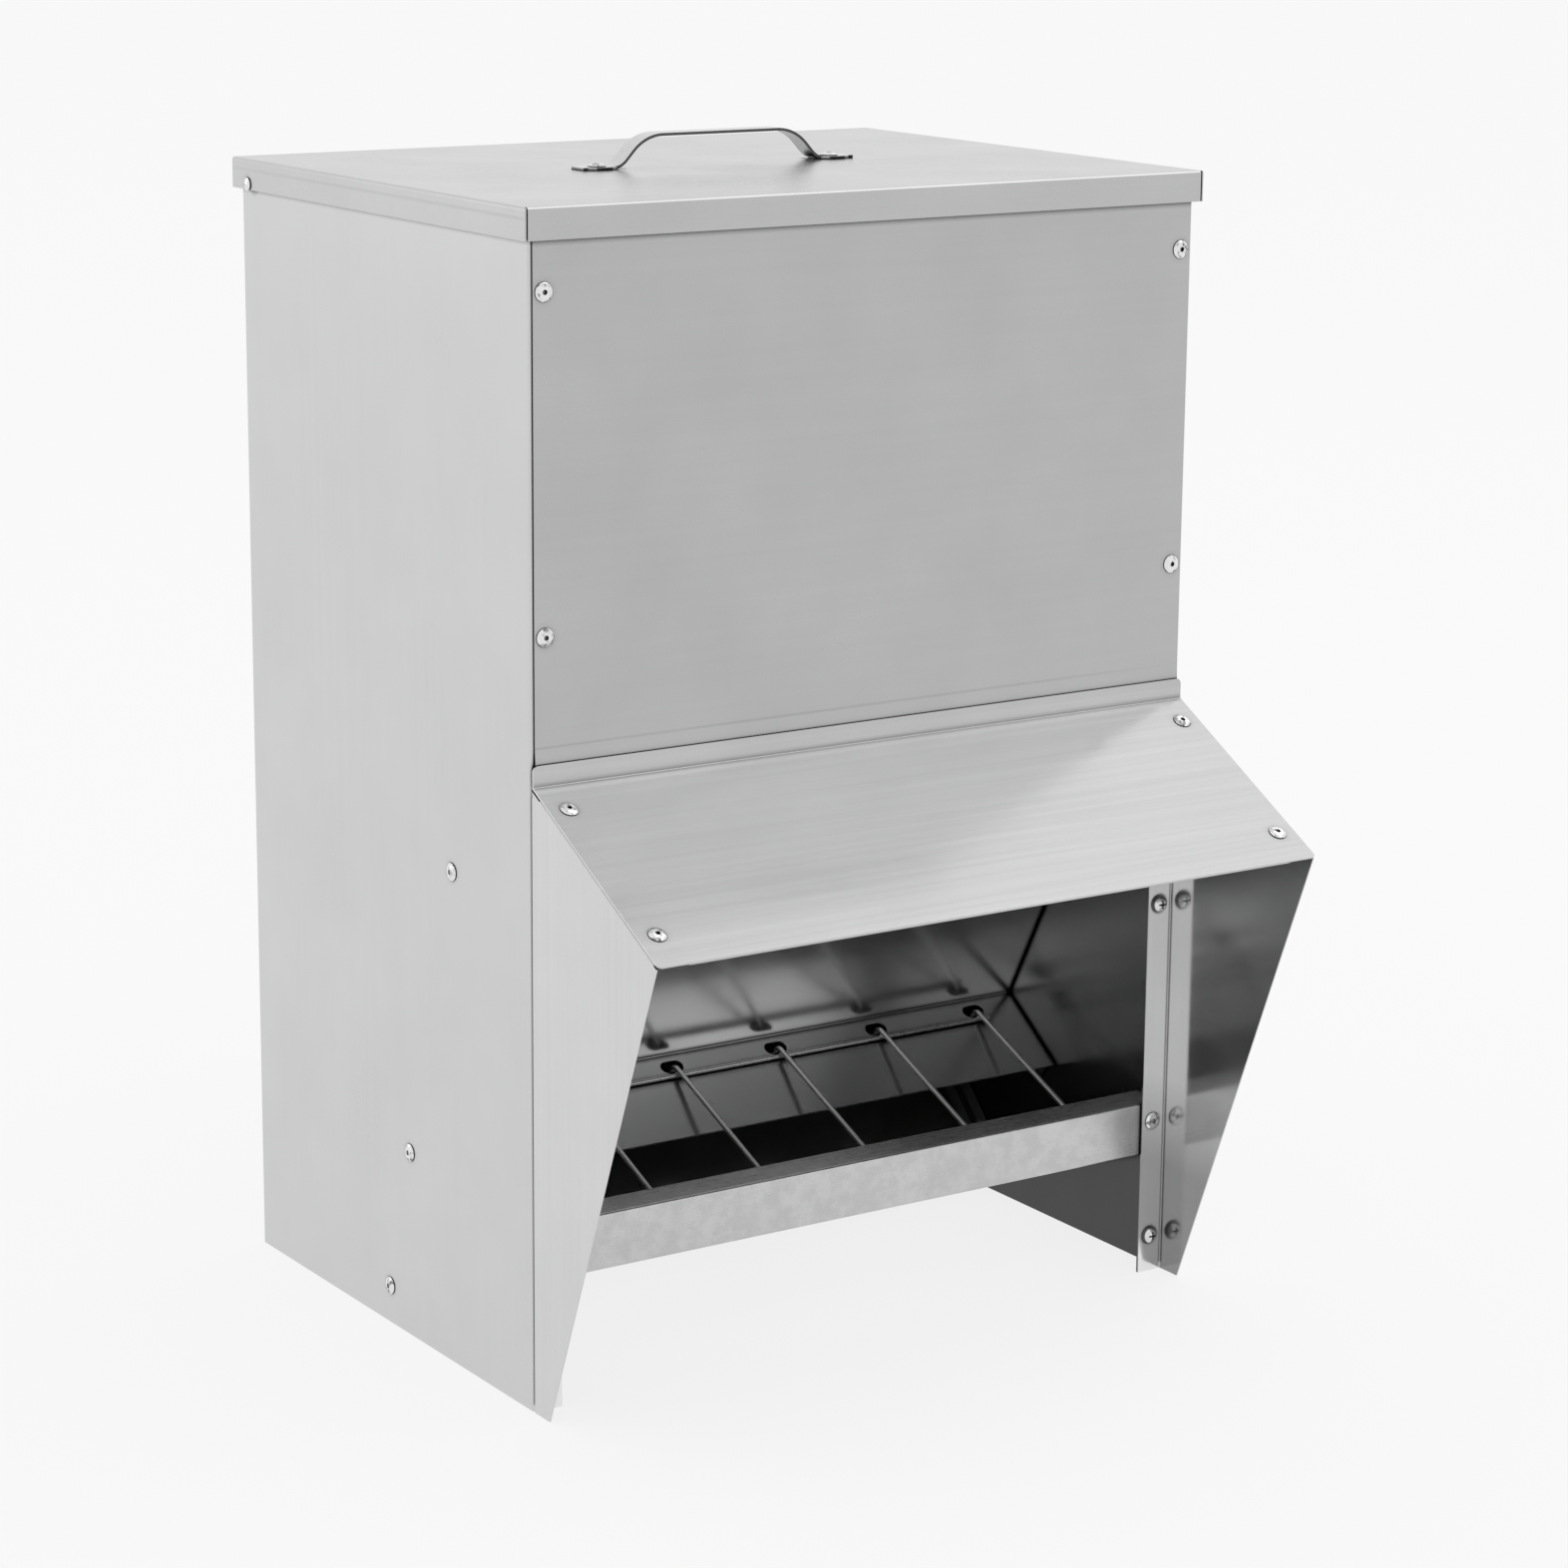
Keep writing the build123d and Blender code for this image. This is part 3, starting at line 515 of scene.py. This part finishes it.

# Sheets. The levels of grey are set to the photo's tones, sheet by sheet, so the differences between
# sheets are partly their own tone and partly painted light and shade, such as the darker front sheet.
panel_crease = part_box("hood")[1][2] + PANEL_CREASE_RISE
lid_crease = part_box("lid")[1][2] - LID_CREASE_DROP
# The sides and wings are darker on faces that look inward, most at the foot: painted shade.
sides = galvanised("sheet_sides", "Z", level=0.63, rough=0.24, inner_shade=(0.52, 0.12))
# The wings' faces along Y, such as the front edges, are lighter: painted highlight.
wings = galvanised(
    "sheet_wings", "Z", level=0.655, rough=0.14, streak=0.012, metal=0.86,
    inner_shade=(0.9, 0.45), painted_facing_light=("Y", 1.36), reach=NARROW_SEAM_REACH,
)
front = galvanised("sheet_front", "X", level=0.495, rough=0.30, crease=panel_crease)
# The hood's faces along X, such as its cut edges, are lighter: painted highlight.
hood = galvanised(
    "sheet_hood", "X", level=0.53, rough=0.18, streak=0.02, brushed=0.03, painted_facing_light=("X", 1.45)
)
# The lid's faces along Y, such as its front skirt, are darker: painted shade.
lid = galvanised(
    "sheet_lid", "X", level=0.57, rough=0.26, crease=lid_crease, painted_facing_light=("Y", 0.92)
)
inside = galvanised("sheet_inside", "X", level=0.63, rough=0.2)
trough = galvanised("sheet_trough", "X", level=0.58, rough=0.28, patch=0.03, brushed=0.02)
paint(sides, "left_side_panel", "right_side_panel")
paint(wings, "left_wing", "right_wing")
paint(front, "front_panel", "back_panel")
paint(hood, "hood")
paint(lid, "lid")
paint(inside, "feed_baffle", "hopper_floor")
paint(trough, "trough_pan")

# Strap, fasteners and wire
# The strap's faces along Y, its side edges, are much darker: painted shade.
strap = bright_metal("strap", 0.66, 0.2, painted_facing_light=("Y", 0.15))
rivet = bright_metal("rivet", 0.82, 0.14, spot_level=0.3)
screw = bright_metal("screw", 0.72, 0.2)
# The wire's painted shade in seams falls only to half its level.
wire = bright_metal("wire", 0.5, 0.3, seam_shade_dark=0.5)
stub = bright_metal("stub", 0.4, 0.35)
paint(strap, "lid_handle")
paint(rivet, *[name for name in nodes if "rivet" in name or "pivot" in name])
paint(screw, *[name for name in nodes if "screw" in name or "nut" in name])
paint(wire, "grid_bars", "grid_cross_rod")

make_stubs(
    "rivet_stubs",
    {
        "front_panel_rivets": (0, -1, 0),
        "left_lip_rivet": (0, -1, 0),
        "right_lip_rivet": (0, -1, 0),
        "hood_rivets": (0, -math.sin(HOOD_ANGLE), math.cos(HOOD_ANGLE)),
        "left_side_rivets": (-1, 0, 0),
        "right_side_rivets": (1, 0, 0),
        "back_panel_rivets": (0, 1, 0),
        "hopper_floor_rivets": (0, 1, 0),
        "trough_seam_rivets": (0, math.sin(FLOOR_ANGLE), -math.cos(FLOOR_ANGLE)),
    },
    stub,
    "body",
)
make_stubs("handle_rivet_stubs", {"handle_rivets": (0, 0, 1)}, stub, "lid")
make_weld_beads(wire)

bpy.context.scene.view_settings.view_transform = "Standard"
